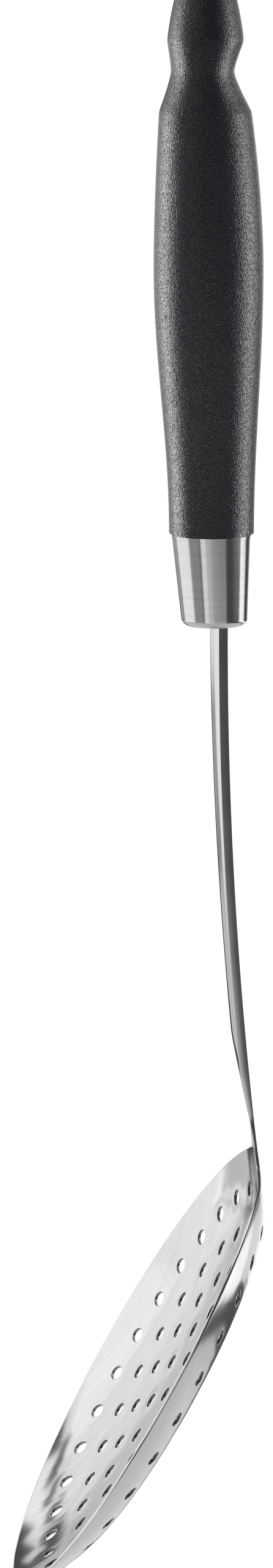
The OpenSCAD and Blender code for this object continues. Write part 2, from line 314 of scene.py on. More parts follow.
@dataclass(frozen=True)
class Steel:
    """Brushed stainless steel: fine lines, faint broad streaks, uneven polish, and painted shade darkening
    cut edges.
    """

    name: str
    brushing: Brushing
    dark: Colour = (0.545, 0.542, 0.556, 1.0)
    light: Colour = (0.64, 0.637, 0.652, 1.0)
    # Dark colour of cut edges, which are the hole walls: painted shade.
    hole_wall_shade: Colour = (0.26, 0.26, 0.265, 1.0)
    sheared_roughness: float = 0.05
    roughness: float = 0.15
    spread: float = 0.09
    line_pitch: float = 0.16 * MM
    line_length: float = 14 * MM
    streak_pitch: float = 1.3 * MM
    streak_length: float = 60 * MM
    cloud: float = 9 * MM
    line_depth: float = 0.006 * MM
    line_strength: float = 0.13
    tone_span: tuple[float, float] = (0.3, 0.7)

    def coordinates(self, shader: Shader, across: float, along: float) -> Value:
        """Coordinates in which a brush line is one unit wide and one unit long.

        Args:
            shader: Tree of the material.
            across: Width of a line.
            along: Length of a line.

        Returns:
            The coordinates: the surface's own for lengthwise lines, and the object's for lines round Z.
        """
        if self.brushing is Brushing.LENGTHWISE:
            return shader.scaled(shader.attribute("grain", "Vector"), (1 / across, 1 / along, 0.0))
        return shader.place((1 / along, 1 / along, 1 / across))

    def material(self) -> bpy.types.Material:
        """Builds the material.

        Returns:
            Metal whose colour, roughness and bump follow the brush lines, with the colour darkened on cut
            edges as painted shade.
        """
        made = bpy.data.materials.new(self.name)
        shader = Shader(made)
        lines = shader.noise(self.coordinates(shader, self.line_pitch, self.line_length), 2.0, 0.6)
        streaks = shader.noise(self.coordinates(shader, self.streak_pitch, self.streak_length), 3.0)
        clouds = shader.noise(shader.place((1 / self.cloud,) * 3), 2.0)
        tone = (lines * 0.45 + streaks * 0.4 + clouds * 0.15).ramp(*self.tone_span)
        uneven = lines * 0.5 + streaks * 0.25 + clouds * 0.25 - 0.5
        # The cut share darkens the colour on the hole walls as painted shade, and adds a little roughness.
        cut = shader.attribute("cut", "Fac")
        bump_inputs = {
            "Strength": self.line_strength,
            "Distance": self.line_depth,
            "Height": lines + streaks * 0.5,
        }
        surface = shader.node(
            "ShaderNodeBsdfPrincipled",
            {},
            {
                "Base Color": shader.mix(cut, shader.mix(tone, self.dark, self.light), self.hole_wall_shade),
                "Metallic": 1.0,
                "Roughness": uneven * self.spread + cut * self.sheared_roughness + self.roughness,
                "Normal": shader.node("ShaderNodeBump", {}, bump_inputs),
            },
        )
        shader.finish(surface)
        return made


@dataclass(frozen=True)
class GrainedPlastic:
    """Black moulded plastic: a fine grain of glossy pebbles over matt pits, and a faint parting line."""

    name: str
    dark: Colour = (0.016, 0.015, 0.021, 1.0)
    light: Colour = (0.026, 0.0245, 0.034, 1.0)
    roughness: float = 0.17
    spread: float = 0.14
    refraction: float = 1.75
    pebble: float = 0.32 * MM
    patch: float = 0.65 * MM
    cloud: float = 7 * MM
    grain_depth: float = 0.14 * MM
    grain_strength: float = 1.0
    pit_gloss: float = 0.1
    seam_back: float = -1.0 * MM
    seam_half: float = 0.11 * MM
    seam_share: float = 0.5
    tone_span: tuple[float, float] = (0.3, 0.75)
    raised_span: tuple[float, float] = (0.3, 0.62)
    grazing_span: tuple[float, float] = (0.5, 0.9)

    def material(self) -> bpy.types.Material:
        """Builds the material.

        Returns:
            Plastic whose bump is pebbled, with a thin raised line where the mould halves met. At a low angle
            the pebbles hide the pits, so the glossy share rises.
        """
        made = bpy.data.materials.new(self.name)
        shader = Shader(made)
        pebbles = shader.noise(shader.place((1 / self.pebble,) * 3), 2.0, 0.45)
        patches = shader.noise(shader.place((1 / self.patch,) * 3), 2.0)
        clouds = shader.noise(shader.place((1 / self.cloud,) * 3), 2.0)
        where = shader.node("ShaderNodeTexCoord", {}, {}, "Object")
        back = shader.node("ShaderNodeSeparateXYZ", {}, {"Vector": where}, "Y")
        offset = (back - self.seam_back).math("ABSOLUTE")
        seam = offset.ramp(0.0, self.seam_half, self.seam_share, 0.0)
        bump_inputs = {
            "Strength": self.grain_strength,
            "Distance": self.grain_depth,
            "Height": pebbles * (1 - seam) + seam,
        }
        raised = shader.node(
            "ShaderNodeBsdfPrincipled",
            {},
            {
                "Base Color": shader.mix(pebbles.ramp(*self.tone_span), self.dark, self.light),
                "Roughness": (pebbles * 0.6 + clouds * 0.4 - 0.5) * self.spread + self.roughness,
                "IOR": self.refraction,
                "Normal": shader.node("ShaderNodeBump", {}, bump_inputs),
            },
        )
        pits = {"Base Color": self.light, "Specular IOR Level": self.pit_gloss}
        sunk = shader.node("ShaderNodeBsdfPrincipled", {}, pits)
        facing = shader.node("ShaderNodeLayerWeight", {}, {"Blend": 0.5}, "Facing")
        risen = (pebbles * 0.75 + patches * 0.25).ramp(*self.raised_span)
        shown = risen.math("MAXIMUM", facing.ramp(*self.grazing_span))
        shader.finish(shader.node("ShaderNodeMixShader", {}, {0: shown, 1: sunk, 2: raised}))
        return made


def edge_rings(front: Array, back: Array, normal: Array, out: Array, bevel: float) -> Array:
    """Rings of points round a sheet's cut edge, which is square with both corners bevelled round.

    Args:
        front: Points where the front face ends.
        back: Points where the back face ends.
        normal: Front face's normals there.
        out: Unit vectors out of the sheet, along its faces.
        bevel: Radius of the corners, by which the cut face stands out beyond front and back.

    Returns:
        Six rings, stacked on a new first axis, in order from front to back.
    """
    half = math.sqrt(0.5) * bevel
    drop = bevel - half
    return np.stack(
        [
            front,
            front + out * half - normal * drop,
            front + (out - normal) * bevel,
            back + (out + normal) * bevel,
            back + out * half + normal * drop,
            back,
        ]
    )


@dataclass
class Blade:
    """Perforated bowl, flared neck, crowned stem and tang, all one piece of steel.

    In the bowl's own frame u runs across, v up towards the neck, and w out of the hollow, square to the rim.
    """

    bowl_d: float = 115.5 * MM
    floor_d: float = 84 * MM
    floor_r: float = 250 * MM
    wall_r: float = 30.5 * MM
    sheet_t: float = 0.8 * MM
    bowl_tilt: float = 30.2
    hole_rings: int = 5
    ring_pitch: float = 10 * MM
    holes_per_ring: int = 6
    hole_d: float = 3.6 * MM
    collar_h: float = 0.12 * MM
    collar_r: float = 4.6 * MM
    neck_w: float = 34 * MM
    neck_turn: int = 12
    neck_l: float = 9.5 * MM
    neck_lean: float = 6.5
    neck_crease: float = 1.6 * MM
    stem_l: float = 118 * MM
    stem_w: float = 10 * MM
    stem_t: float = 3.9 * MM
    wedge_t: float = 3.1 * MM
    wedge_l: float = 22 * MM
    wedge_soft: float = 0.2 * MM
    stem_side: float = 2.1 * MM
    stem_back: float = 5.2 * MM
    stem_stub: float = 1.8 * MM
    tang_l: float = 62 * MM
    tang_w: float = 7 * MM
    tang_t: float = 3 * MM
    foot_drop: float = 146.5 * MM
    bevel: float = 0.12 * MM
    crease: float = 50

    rim_steps = 360
    side_steps = 3
    neck_rows = 13
    stem_rows = 110
    slope_step = 0.02 * MM
    probe = 0.01 * MM
    layers = (0.0, 0.05, 0.2, 0.45, 0.7, 1.0)
    # Cut share across the six rings of a hole's wall: the steel paints shade on the four cut rings.
    wall_cut_shade = np.array([0.0, 1.0, 1.0, 1.0, 1.0, 0.0])[:, None]

    @cached_property
    def floor_angle(self) -> float:
        """Slope of the floor where the wall begins, in radians."""
        return math.asin(self.floor_d / 2 / self.floor_r)

    @cached_property
    def wall_axis(self) -> float:
        """Distance of the wall arc's centre from the bowl's axis."""
        return self.floor_d / 2 - self.wall_r * math.sin(self.floor_angle)

    @cached_property
    def rim_angle(self) -> float:
        """Slope of the wall at the rim, in radians."""
        return math.asin((self.bowl_d / 2 - self.wall_axis) / self.wall_r)

    @cached_property
    def edge_r(self) -> float:
        """Radius where the bowl's front face ends and the rim's bevel begins."""
        return self.bowl_d / 2 - self.bevel * math.cos(self.rim_angle)

    @cached_property
    def hole_r(self) -> float:
        """Radius where the front face ends at a hole and its bevel begins."""
        return self.hole_d / 2 + self.bevel

    @cached_property
    def neck_reach(self) -> float:
        """Distance from the bowl's axis of the chord along which the neck's plane cuts the rim."""
        return math.sqrt((self.bowl_d / 2) ** 2 - (self.neck_w / 2) ** 2)

    @cached_property
    def neck_slope(self) -> float:
        """Angle between the neck and the rim's plane, in radians."""
        return math.radians(self.bowl_tilt + self.neck_lean)

    @cached_property
    def stem_bow(self) -> float:
        """Radius of the stem's bow."""
        return self.stem_l / math.radians(self.neck_lean)

    @cached_property
    def bowl_middle(self) -> tuple[float, float]:
        """Y and Z of the rim's middle, under the end of the neck."""
        lean = math.radians(self.neck_lean)
        tilt = math.radians(self.bowl_tilt)
        back, height = self.stem_path(np.array(self.stem_l + self.neck_l))
        y = float(back) - self.sheet_t * math.cos(lean) - self.neck_reach * math.sin(tilt)
        z = float(height) - self.sheet_t * math.sin(lean) - self.neck_reach * math.cos(tilt)
        return y, z

    def stem_lean(self, s: Array) -> Array:
        """Lean of the stem at distance s below the ferrule, in radians, growing evenly to the neck's."""
        return math.radians(self.neck_lean) * np.clip(s / self.stem_l, 0.0, 1.0)

    def stem_path(self, s: Array) -> tuple[Array, Array]:
        """Line of the stem's back: upright, then an arc, then straight along the neck.

        Args:
            s: Distances below the ferrule.

        Returns:
            Y and Z.
        """
        lean = self.stem_lean(s)
        above = np.minimum(s, 0.0)
        beyond = np.maximum(s - self.stem_l, 0.0)
        y = self.stem_back + self.stem_bow * (1 - np.cos(lean)) + beyond * np.sin(lean)
        z = -self.foot_drop - above - self.stem_bow * np.sin(lean) - beyond * np.cos(lean)
        return y, z

    def stem_thickness(self, s: Array) -> Array:
        """Thickness of the stem: a slow taper, then a wedge down to the sheet, with a soft edge between.

        Args:
            s: Distances below the ferrule.

        Returns:
            Thicknesses.
        """
        wedge_s = self.stem_l - self.wedge_l
        taper = self.stem_t + (self.wedge_t - self.stem_t) * np.maximum(s, 0.0) / wedge_s
        wedge = self.wedge_t + (self.sheet_t - self.wedge_t) * (s - wedge_s) / self.wedge_l
        return np.maximum(-smooth_max(-taper, -wedge, self.wedge_soft), self.sheet_t)

    def neck_half(self, v: Array) -> Array:
        """Half width of the neck's front face: an arc tangent to the rim and to the stem's side.

        Args:
            v: Places up the neck.

        Returns:
            Half widths.
        """
        turn = math.radians(self.neck_turn)
        stem_half = self.stem_w / 2 - self.bevel
        flare_r = (self.edge_r * math.sin(turn) - stem_half) / (1 - math.sin(turn))
        flare_v = (self.edge_r + flare_r) * math.cos(turn)
        below = np.minimum(v - flare_v, 0.0)
        return stem_half + flare_r - np.sqrt(flare_r**2 - below**2)

    def collar(self, u: Array, v: Array) -> Array:
        """Rise of the sheet round a punched hole.

        It is one less the squared share of the collar's radius, squared again.

        Args:
            u: Places across the bowl.
            v: Places up the bowl.

        Returns:
            Heights over the plain sheet by the nearest hole, which are zero beyond its collar.
        """
        ring = np.clip(np.round(np.hypot(u, v) / self.ring_pitch), 0, self.hole_rings)
        radius = ring * self.ring_pitch
        spacing = 2 * math.pi / np.maximum(ring * self.holes_per_ring, 1)
        middle = np.round((np.arctan2(v, u) - math.pi / 2) / spacing) * spacing + math.pi / 2
        away = np.hypot(u - radius * np.cos(middle), v - radius * np.sin(middle))
        return self.collar_h * np.maximum(1 - (away / self.collar_r) ** 2, 0.0) ** 2

    def height(self, u: Array, v: Array) -> Array:
        """Height of the sheet's front face over the rim's plane.

        It is one arc for the floor and one for the wall, with the holes' collars, or the neck's plane where
        that lies in front of them.

        Args:
            u: Places across the bowl.
            v: Places up the bowl.

        Returns:
            Heights.
        """
        r = np.minimum(np.hypot(u, v), self.bowl_d / 2)
        wall_rise = self.wall_r * math.cos(self.rim_angle)
        floor_rise = wall_rise + (self.floor_r - self.wall_r) * math.cos(self.floor_angle)
        floor = floor_rise - np.sqrt(self.floor_r**2 - r**2)
        wall = wall_rise - np.sqrt(np.maximum(self.wall_r**2 - (r - self.wall_axis) ** 2, 0.0))
        bowl = np.where(r <= self.floor_d / 2, floor, wall)
        neck = (v - self.neck_reach) * math.tan(self.neck_slope)
        return smooth_max(bowl + self.collar(u, v), neck, self.neck_crease)

    def turned(self, u: Array, v: Array, w: Array) -> Array:
        """Turns directions of the bowl's frame by the bowl's tilt into the object's frame.

        Args:
            u: Their parts across the bowl.
            v: Their parts up the bowl.
            w: Their parts out of the hollow.

        Returns:
            The directions.
        """
        tilt = math.radians(self.bowl_tilt)
        y = v * math.sin(tilt) - w * math.cos(tilt)
        return points_of(u, y, v * math.cos(tilt) + w * math.sin(tilt))

    def sheet(self, u: Array, v: Array) -> tuple[Array, Array]:
        """Points and normals of the sheet's front face.

        Args:
            u: Places across the bowl.
            v: Places up the bowl.

        Returns:
            Points in the object's frame, and unit normals that face out of the hollow.
        """
        step = self.slope_step
        slope_u = (self.height(u + step, v) - self.height(u - step, v)) / (2 * step)
        slope_v = (self.height(u, v + step) - self.height(u, v - step)) / (2 * step)
        y, z = self.bowl_middle
        points = self.turned(u, v, self.height(u, v)) + np.array([0.0, y, z])
        return points, unit(self.turned(-slope_u, -slope_v, np.ones_like(u)))

    def hole_cell(self, ring: int) -> Array:
        """Grid round one hole, from its edge to the borders of its cell, for each hole of a ring.

        Args:
            ring: Number of the ring, from 1.

        Returns:
            Places (u, v) as (holes, layers, columns, 2), anticlockwise round each hole.
        """
        holes = ring * self.holes_per_ring
        arc_steps = self.rim_steps // holes
        low = -(arc_steps // 2)
        arc = np.radians(np.arange(low, low + arc_steps + 1) * 360 / self.rim_steps)
        radius = ring * self.ring_pitch
        inner, outer = radius - self.ring_pitch / 2, radius + self.ring_pitch / 2
        side = np.linspace(inner, outer, self.side_steps + 1)
        r = np.concatenate([np.full(arc_steps, outer), side[:0:-1], np.full(arc_steps, inner), side[:-1]])
        right, left = np.full(self.side_steps, arc[0]), np.full(self.side_steps, arc[-1])
        turn = np.concatenate([arc[:-1], left, arc[:0:-1], right])
        border = np.stack([r * np.cos(turn), r * np.sin(turn)], axis=-1)
        heading = np.arctan2(border[:, 1], border[:, 0] - radius)
        near, far = self.height(np.zeros(2), -np.array([radius, radius + self.probe]))
        flattening = math.cos(math.atan((far - near) / self.probe))
        edge_u = radius + self.hole_r * flattening * np.cos(heading)
        edge = np.stack([edge_u, self.hole_r * np.sin(heading)], axis=-1)
        share = np.array(self.layers)[:, None, None]
        cell = blend(edge, border, share)
        spin = np.radians(90 + np.arange(holes) * 360 / holes)[:, None, None]
        u = cell[..., 0] * np.cos(spin) - cell[..., 1] * np.sin(spin)
        v = cell[..., 0] * np.sin(spin) + cell[..., 1] * np.cos(spin)
        return np.stack([u, v], axis=-1)

    def annulus(self, radii: Sequence[float]) -> Array:
        """Rings of places on the bowl, one place per degree, from the neck's right corner onwards.

        Args:
            radii: The rings' radii.

        Returns:
            Places (u, v) as (rings, places, 2).
        """
        turn = np.radians(90 - self.neck_turn + np.arange(self.rim_steps) * 360 / self.rim_steps)
        r = np.array(radii)[:, None]
        return np.stack([r * np.cos(turn), r * np.sin(turn)], axis=-1)

    def add_sheet(self, skin: Skin, places: Array, pierced: bool) -> None:
        """Adds front and back of the bowl over some places, and the walls of their holes.

        Args:
            skin: Surface to add to.
            places: Grids of (u, v), as (..., rows, columns, 2), closed along their columns.
            pierced: Whether the first row goes round a hole.
        """
        front, normal = self.sheet(places[..., 0], places[..., 1])
        back = front - normal * self.sheet_t
        skin.add(front, True, places)
        skin.add(back, True, places)
        if not pierced:
            return
        edge, behind, facing = (part[..., 0, :, :] for part in (front, back, normal))
        wall = edge_rings(edge, behind, facing, -outwards(edge, facing), self.bevel)
        wall_places = np.broadcast_to(places[..., 0, :, :], wall.shape[:-1] + (2,))
        skin.add(np.moveaxis(wall, 0, -3), True, np.moveaxis(wall_places, 0, -3), cut=self.wall_cut_shade)

    def add_bowl(self, skin: Skin) -> None:
        """Adds the perforated bowl with its rim, but for the arc of the rim where the neck joins.

        Args:
            skin: Surface to add to.
        """
        first = blend(self.hole_r, self.ring_pitch / 2, np.array(self.layers))
        self.add_sheet(skin, self.annulus(first), True)
        for ring in range(1, self.hole_rings + 1):
            self.add_sheet(skin, self.hole_cell(ring), True)
        inner = (self.hole_rings + 0.5) * self.ring_pitch
        outer = blend(self.edge_r, inner, np.array(self.layers))
        places = self.annulus(outer)
        self.add_sheet(skin, places, False)
        edge, facing, out = self.rim()
        free = np.r_[2 * self.neck_turn : self.rim_steps, 0]
        wall = edge_rings(edge, edge - facing * self.sheet_t, facing, out, self.bevel)[:, free]
        skin.add(wall, False, np.broadcast_to(places[0][free], wall.shape[:-1] + (2,)))

    def rim(self) -> tuple[Array, Array, Array]:
        """Follows the rim once round.

        Returns:
            Points where the front face ends, its normals there, and unit vectors out along the face.
        """
        places = self.annulus([self.edge_r])[0]
        edge, facing = self.sheet(places[:, 0], places[:, 1])
        return edge, facing, outwards(edge, facing)

    def neck_faces(self, arc: Array, share: Array) -> tuple[Array, Array, Array, Array]:
        """Follows the flared neck up to the stem, as a part of the sheet.

        Args:
            arc: Places (u, v) on the rim where the neck joins, from left to right.
            share: How far across each column lies, from -1 to 1.

        Returns:
            Points of front and back and normals of the front as (rows, columns, 3), and places up the blade.
        """
        highest = self.neck_reach + self.neck_l * math.cos(self.neck_slope)
        t = np.linspace(0.0, 1.0, self.neck_rows, endpoint=False)[:, None]
        v = blend(arc[:, 1], highest, t)
        u = share * self.neck_half(blend(arc[-1, 1], highest, t))
        front, normal = self.sheet(u, v)
        return front, front - normal * self.sheet_t, normal, v[:, :1]

    def stem_faces(self, share: Array) -> tuple[Array, Array, Array, Array]:
        """Follows the stem, whose front is crowned by a parabola, and the flat tang.

        Args:
            share: How far across each column lies, from -1 to 1.

        Returns:
            Points of front and back and normals of the front as (rows, columns, 3), and places up the blade.
        """
        ends = [-self.stem_stub, -self.stem_stub, -self.tang_l]
        s = np.concatenate([np.linspace(self.stem_l, 0.0, self.stem_rows), ends])
        tang = np.arange(s.size) > self.stem_rows
        above = self.neck_reach + (self.stem_l + self.neck_l - s) * math.cos(self.neck_slope)
        half = np.where(tang, self.tang_w / 2 - self.bevel, self.neck_half(above))
        thick = self.stem_thickness(s)
        low = np.where(tang, (self.stem_t - self.tang_t) / 2, 0.0)
        side = np.where(tang, low + self.tang_t, np.minimum(self.stem_side, thick))
        crown = np.where(tang, 0.0, thick - side)
        lean = self.stem_lean(s)
        out = points_of(np.zeros_like(s), -np.cos(lean), -np.sin(lean))[:, None]
        spine = points_of(np.zeros_like(s), *self.stem_path(s))[:, None]
        base = spine + points_of(half[:, None] * share, 0.0, 0.0)
        rise = side[:, None] + crown[:, None] * (1 - share**2)
        front, back = base + rise[..., None] * out, base + low[:, None, None] * out
        return front, back, np.broadcast_to(out, base.shape), above[:, None]

    def add_strip(self, skin: Skin) -> None:
        """Adds neck, stem and tang: rows of closed sections from the rim's arc up to the tang's end.

        Args:
            skin: Surface to add to.
        """
        arc = self.annulus([self.edge_r])[0, 2 * self.neck_turn :: -1]
        share = arc[:, 0] / arc[-1, 0]
        parts = zip(self.neck_faces(arc, share), self.stem_faces(share))
        front, back, normal, length = (np.concatenate(pair) for pair in parts)
        along = np.gradient(front, axis=0)
        along[self.neck_rows + self.stem_rows :] = np.array([0.0, 0.0, 1.0])
        right = unit(np.cross(along[:, -1], normal[:, -1]))
        right *= np.sign(right[:, :1])
        left = right * np.array([-1.0, 1.0, 1.0])
        rim_out = self.rim()[2]
        right[0], left[0] = rim_out[0], rim_out[2 * self.neck_turn]
        right_wall = edge_rings(front[:, -1], back[:, -1], normal[:, -1], right, self.bevel)
        left_wall = edge_rings(front[:, 0], back[:, 0], normal[:, 0], left, self.bevel)
        walls = [np.moveaxis(wall[1:-1], 0, 1) for wall in (right_wall, left_wall[::-1])]
        section = capped(np.concatenate([front, walls[0], back[:, ::-1], walls[1]], axis=1))
        length = np.concatenate([length, length[-1:]])
        grain = np.stack([section[..., 0], np.broadcast_to(length, section.shape[:2])], axis=-1)
        skin.add(section, True, grain)

    def build(self, finish: Steel) -> bpy.types.Object:
        """Builds the blade and puts it in place of its solid.

        Args:
            finish: The steel's finish.

        Returns:
            The finished piece.
        """
        skin = Skin()
        self.add_bowl(skin)
        self.add_strip(skin)
        piece = skin.build("skimmer_blade", self.crease)
        return dress(piece, finish.material(), "blade")


@dataclass
class Ferrule:
    """Tapered steel sleeve: a thin lip at the top, a rounded foot and a slot for the stem."""

    height: float = 21 * MM
    top_drop: float = 125.5 * MM
    top_r: float = 9.0 * MM
    foot_r: float = 7.45 * MM
    top_back: float = 1.5 * MM
    foot_back: float = 2.35 * MM
    wall: float = 0.8 * MM
    foot_round: float = 1.6 * MM
    lip_h: float = 0.8 * MM
    lip_out: float = 0.06 * MM
    slot_w: float = 10.4 * MM
    slot_front: float = 1.1 * MM
    slot_back: float = 5.4 * MM
    crease: float = 40

    steps = 192
    round_rows = 10
    wall_rows = 8
    foot_gap = 0.1 * MM
    lip_gap = 0.3 * MM
    lip_edge = 0.01 * MM

    def outline(self) -> tuple[Array, Array]:
        """Follows the outside from the foot's flat to the top, with a quarter circle at the foot.

        Returns:
            How far each circle is drawn in from the cone, and its height above the foot.
        """
        turn = np.radians(np.linspace(-90, 0, self.round_rows))
        inset = self.foot_round * (1 - np.cos(turn))
        rise = self.foot_round * (1 + np.sin(turn))
        lip = self.height - self.lip_h
        straight = np.linspace(self.foot_round + self.foot_gap, lip - self.lip_gap, self.wall_rows)
        step = [lip, lip + self.lip_edge, self.height - self.lip_out]
        heights = np.concatenate([rise, straight, step, [self.height]])
        insets = np.concatenate([inset, np.zeros(self.wall_rows + 1), [-self.lip_out, -self.lip_out, 0.0]])
        return insets, heights

    def ring(self, inset: Array, height: Array) -> Array:
        """Circles of the leaning cone, whose radius and set-back change evenly from foot to top.

        Args:
            inset: How far each circle is drawn in.
            height: Its height above the foot.

        Returns:
            Points as (circles, steps, 3).
        """
        turn = full_turn(self.steps)
        share = height[:, None] / self.height
        radius = blend(self.foot_r, self.top_r, share) - inset[:, None]
        back = blend(self.foot_back, self.top_back, share)
        z = height[:, None] - self.height - self.top_drop
        return points_of(radius * np.cos(turn), back + radius * np.sin(turn), z)

    def slot(self, height: float) -> Array:
        """Loop of the stem's slot, a rectangle met along rays from its middle.

        Args:
            height: Height above the foot.

        Returns:
            Points as (1, steps, 3).
        """
        x, y = box_loop(full_turn(self.steps), self.slot_w, self.slot_back - self.slot_front)
        middle = (self.slot_back + self.slot_front) / 2
        return points_of(x, middle + y, height - self.height - self.top_drop)[None]

    def build(self, finish: Steel) -> bpy.types.Object:
        """Builds the sleeve and puts it in place of its solid.

        Args:
            finish: The steel's finish.

        Returns:
            The finished piece.
        """
        inset, height = self.outline()
        outside = self.ring(inset, height)
        inside_heights = np.array([self.height, self.foot_round, self.wall])
        inside_insets = np.array([self.wall, self.wall, self.foot_round])
        inside = self.ring(inside_insets, inside_heights)
        rows = np.concatenate([self.slot(self.wall), self.slot(0.0), outside, inside, self.slot(self.wall)])
        skin = Skin()
        skin.add(rows, True)
        piece = skin.build("skimmer_ferrule", self.crease)
        return dress(piece, finish.material(), "ferrule")


@dataclass
class Handle:
    """Moulded handle: full grip, waist, pommel with a hanging hole, and a nose with the tang's socket."""

    drop: float = 125.5 * MM
    rise: float = 7.5 * MM
    end_depth: float = 19.4 * MM
    end_width: float = 19.2 * MM
    end_back: float = 1.6 * MM
    grip_depth: float = 24.9 * MM
    grip_width: float = 24 * MM
    grip_back: float = 0.8 * MM
    grip_drop: float = 64.5 * MM
    shoulder_depth: float = 20.9 * MM
    shoulder_width: float = 21 * MM
    shoulder_drop: float = 29.7 * MM
    waist_depth: float = 14.2 * MM
    waist_width: float = 19.4 * MM
    waist_drop: float = 20.8 * MM
    waist_forward: float = 0.65 * MM
    pommel_depth: float = 17.3 * MM
    pommel_width: float = 19.2 * MM
    pommel_drop: float = 14 * MM
    step_h: float = 0.35 * MM
    step_in: float = 0.5 * MM
    hang_d: float = 6 * MM
    hang_l: float = 8 * MM
    recess_d: float = 8.6 * MM
    nose_foot: float = 144.4 * MM
    nose_r: float = 6.6 * MM
    nose_root_r: float = 8.0 * MM
    nose_back: float = 1.9 * MM
    socket_top: float = 84.4 * MM
    socket_w: float = 7.2 * MM
    socket_t: float = 3.2 * MM
    socket_back: float = 3.25 * MM
    corner: float = 0.55 * MM
    tip_flat: float = 0.02 * MM
    hole_bevel: float = 0.3 * MM
    crease: float = 35

    ring_power = 2.2
    shoulder_power = 1.7
    waist_power = 1.25
    dome_power = 1.2
    dome_round = 0.45
    columns = 144
    grip_rows = 60
    waist_rows = 70
    dome_rows = 44
    waist_margin = 4 * MM
    dome_margin = 3 * MM
    window = 20
    window_below = 6.4 * MM
    window_above = 5.7 * MM
    window_layers = (0.0, 0.4, 0.7, 0.9, 1.0)
    bevel_round = 0.3
    table_step = 0.05 * MM
    table_reach = 40

    def sharp_sizes(self, z: Array) -> Array:
        """Sizes by eased, powered and domed stretches, with sharp corners between them.

        Args:
            z: Heights.

        Returns:
            Half width, half depth and set-back as (heights, 3).
        """
        end = np.array([self.end_width / 2, self.end_depth / 2, self.end_back])
        grip = np.array([self.grip_width / 2, self.grip_depth / 2, self.grip_back])
        shoulder = np.array([self.shoulder_width / 2, self.shoulder_depth / 2, 0.0])
        waist = np.array([self.waist_width / 2, self.waist_depth / 2, -self.waist_forward])
        pommel = np.array([self.pommel_width / 2, self.pommel_depth / 2, 0.0])

        def way(start: float, stop: float) -> Array:
            """Share of the way down or up between two drops below the hanging hole."""
            return np.clip((z + start) / (start - stop), 0.0, 1.0)[:, None]

        lower = blend(grip, end, (1 - np.cos(math.pi * way(self.grip_drop, self.drop))) / 2)
        upper = blend(grip, shoulder, way(self.grip_drop, self.shoulder_drop) ** self.shoulder_power)
        under = blend(waist, shoulder, way(self.waist_drop, self.shoulder_drop) ** self.waist_power)
        over = blend(waist, pommel, way(self.waist_drop, self.pommel_drop) ** self.waist_power)
        dome = pommel * (1 - way(self.pommel_drop, -self.rise) ** self.dome_power) ** self.dome_round
        drops = [self.grip_drop, self.shoulder_drop, self.waist_drop, self.pommel_drop]
        conditions = [(z <= -drop)[:, None] for drop in drops]
        return np.select(conditions, [lower, upper, under, over], dome)

    @cached_property
    def table(self) -> tuple[Array, Array]:
        """Fine heights, and the sizes there with waist and pommel rounded by a bell-shaped average."""
        z = np.arange(-self.drop, self.rise - self.tip_flat, self.table_step)
        sizes = self.sharp_sizes(z)
        reach = np.arange(-self.table_reach, self.table_reach + 1) * self.table_step
        bell = np.exp(-((reach / self.corner) ** 2) / 2)
        padded = np.pad(sizes, ((self.table_reach, self.table_reach), (0, 0)), mode="edge")
        windows = np.lib.stride_tricks.sliding_window_view(padded, bell.size, axis=0)
        rounded = windows @ (bell / bell.sum())
        waist = ((z > -self.grip_drop) & (z < -self.pommel_drop / 2))[:, None]
        return z, np.where(waist, rounded, sizes)

    def sizes(self, z: Array) -> tuple[Array, Array, Array]:
        """Half width, half depth and set-back at heights z."""
        heights, table = self.table
        return tuple(np.interp(z, heights, table[:, column]) for column in range(3))

    def ring(self, z: Array, inset: Array) -> Array:
        """Rings of the body, which are superellipses.

        Args:
            z: Their heights.
            inset: How far each is drawn in.

        Returns:
            Points as (rings, columns, 3).
        """
        turn = full_turn(self.columns)
        width, depth, back = (size[:, None] for size in self.sizes(z))
        power = 2 / self.ring_power
        x = np.sign(np.cos(turn)) * np.abs(np.cos(turn)) ** power
        y = np.sign(np.sin(turn)) * np.abs(np.sin(turn)) ** power
        return points_of((width - inset[:, None]) * x, back + (depth - inset[:, None]) * y, z[:, None])

    def face(self, x: Array, z: Array, way: int) -> Array:
        """Solves the superellipse for the depth of the handle's front or back.

        Args:
            x: Places across.
            z: Heights.
            way: -1 for the front, 1 for the back.

        Returns:
            Y at the places.
        """
        width, depth, back = self.sizes(z)
        share = np.clip(1 - np.abs(x / width) ** self.ring_power, 0.0, 1.0)
        return back + way * depth * share ** (1 / self.ring_power)

    def inner_rows(self) -> Array:
        """Rows from the socket's roof down its walls, across the nose's foot and up the nose.

        Returns:
            Points as (rows, columns, 3).
        """
        turn = full_turn(self.columns)
        x, y = box_loop(turn, self.socket_w, self.socket_t)
        cos, sin = np.cos(turn), np.sin(turn)
        rows = [
            points_of(0 * x, self.socket_back, -self.socket_top),
            points_of(x, self.socket_back + y, -self.socket_top),
            points_of(x, self.socket_back + y, -self.nose_foot),
            points_of(self.nose_r * cos, self.nose_back + self.nose_r * sin, -self.nose_foot),
            points_of(self.nose_root_r * cos, self.nose_back + self.nose_root_r * sin, -self.drop),
        ]
        return np.stack(rows)

    def body_rows(self) -> tuple[Array, Array]:
        """Rings from the stepped lower edge to the top, closest together at the waist and the tip.

        Returns:
            Heights, and points as (rings, columns, 3).
        """
        edge_z = np.array([0.0, self.step_h]) - self.drop
        waist_from = -self.shoulder_drop - self.waist_margin
        dome_from = -self.pommel_drop + self.dome_margin
        grip_z = np.linspace(-self.drop + self.step_h, waist_from, self.grip_rows)
        waist_z = np.linspace(waist_from, dome_from, self.waist_rows)[1:]
        dome = np.sin(np.linspace(0, math.pi / 2, self.dome_rows))[1:]
        dome_z = blend(dome_from, self.rise - 2 * self.tip_flat, dome)
        z = np.concatenate([edge_z, grip_z, waist_z, dome_z])
        inset = np.where(np.arange(z.size) < edge_z.size, self.step_in, 0.0)
        return z, self.ring(z, inset)

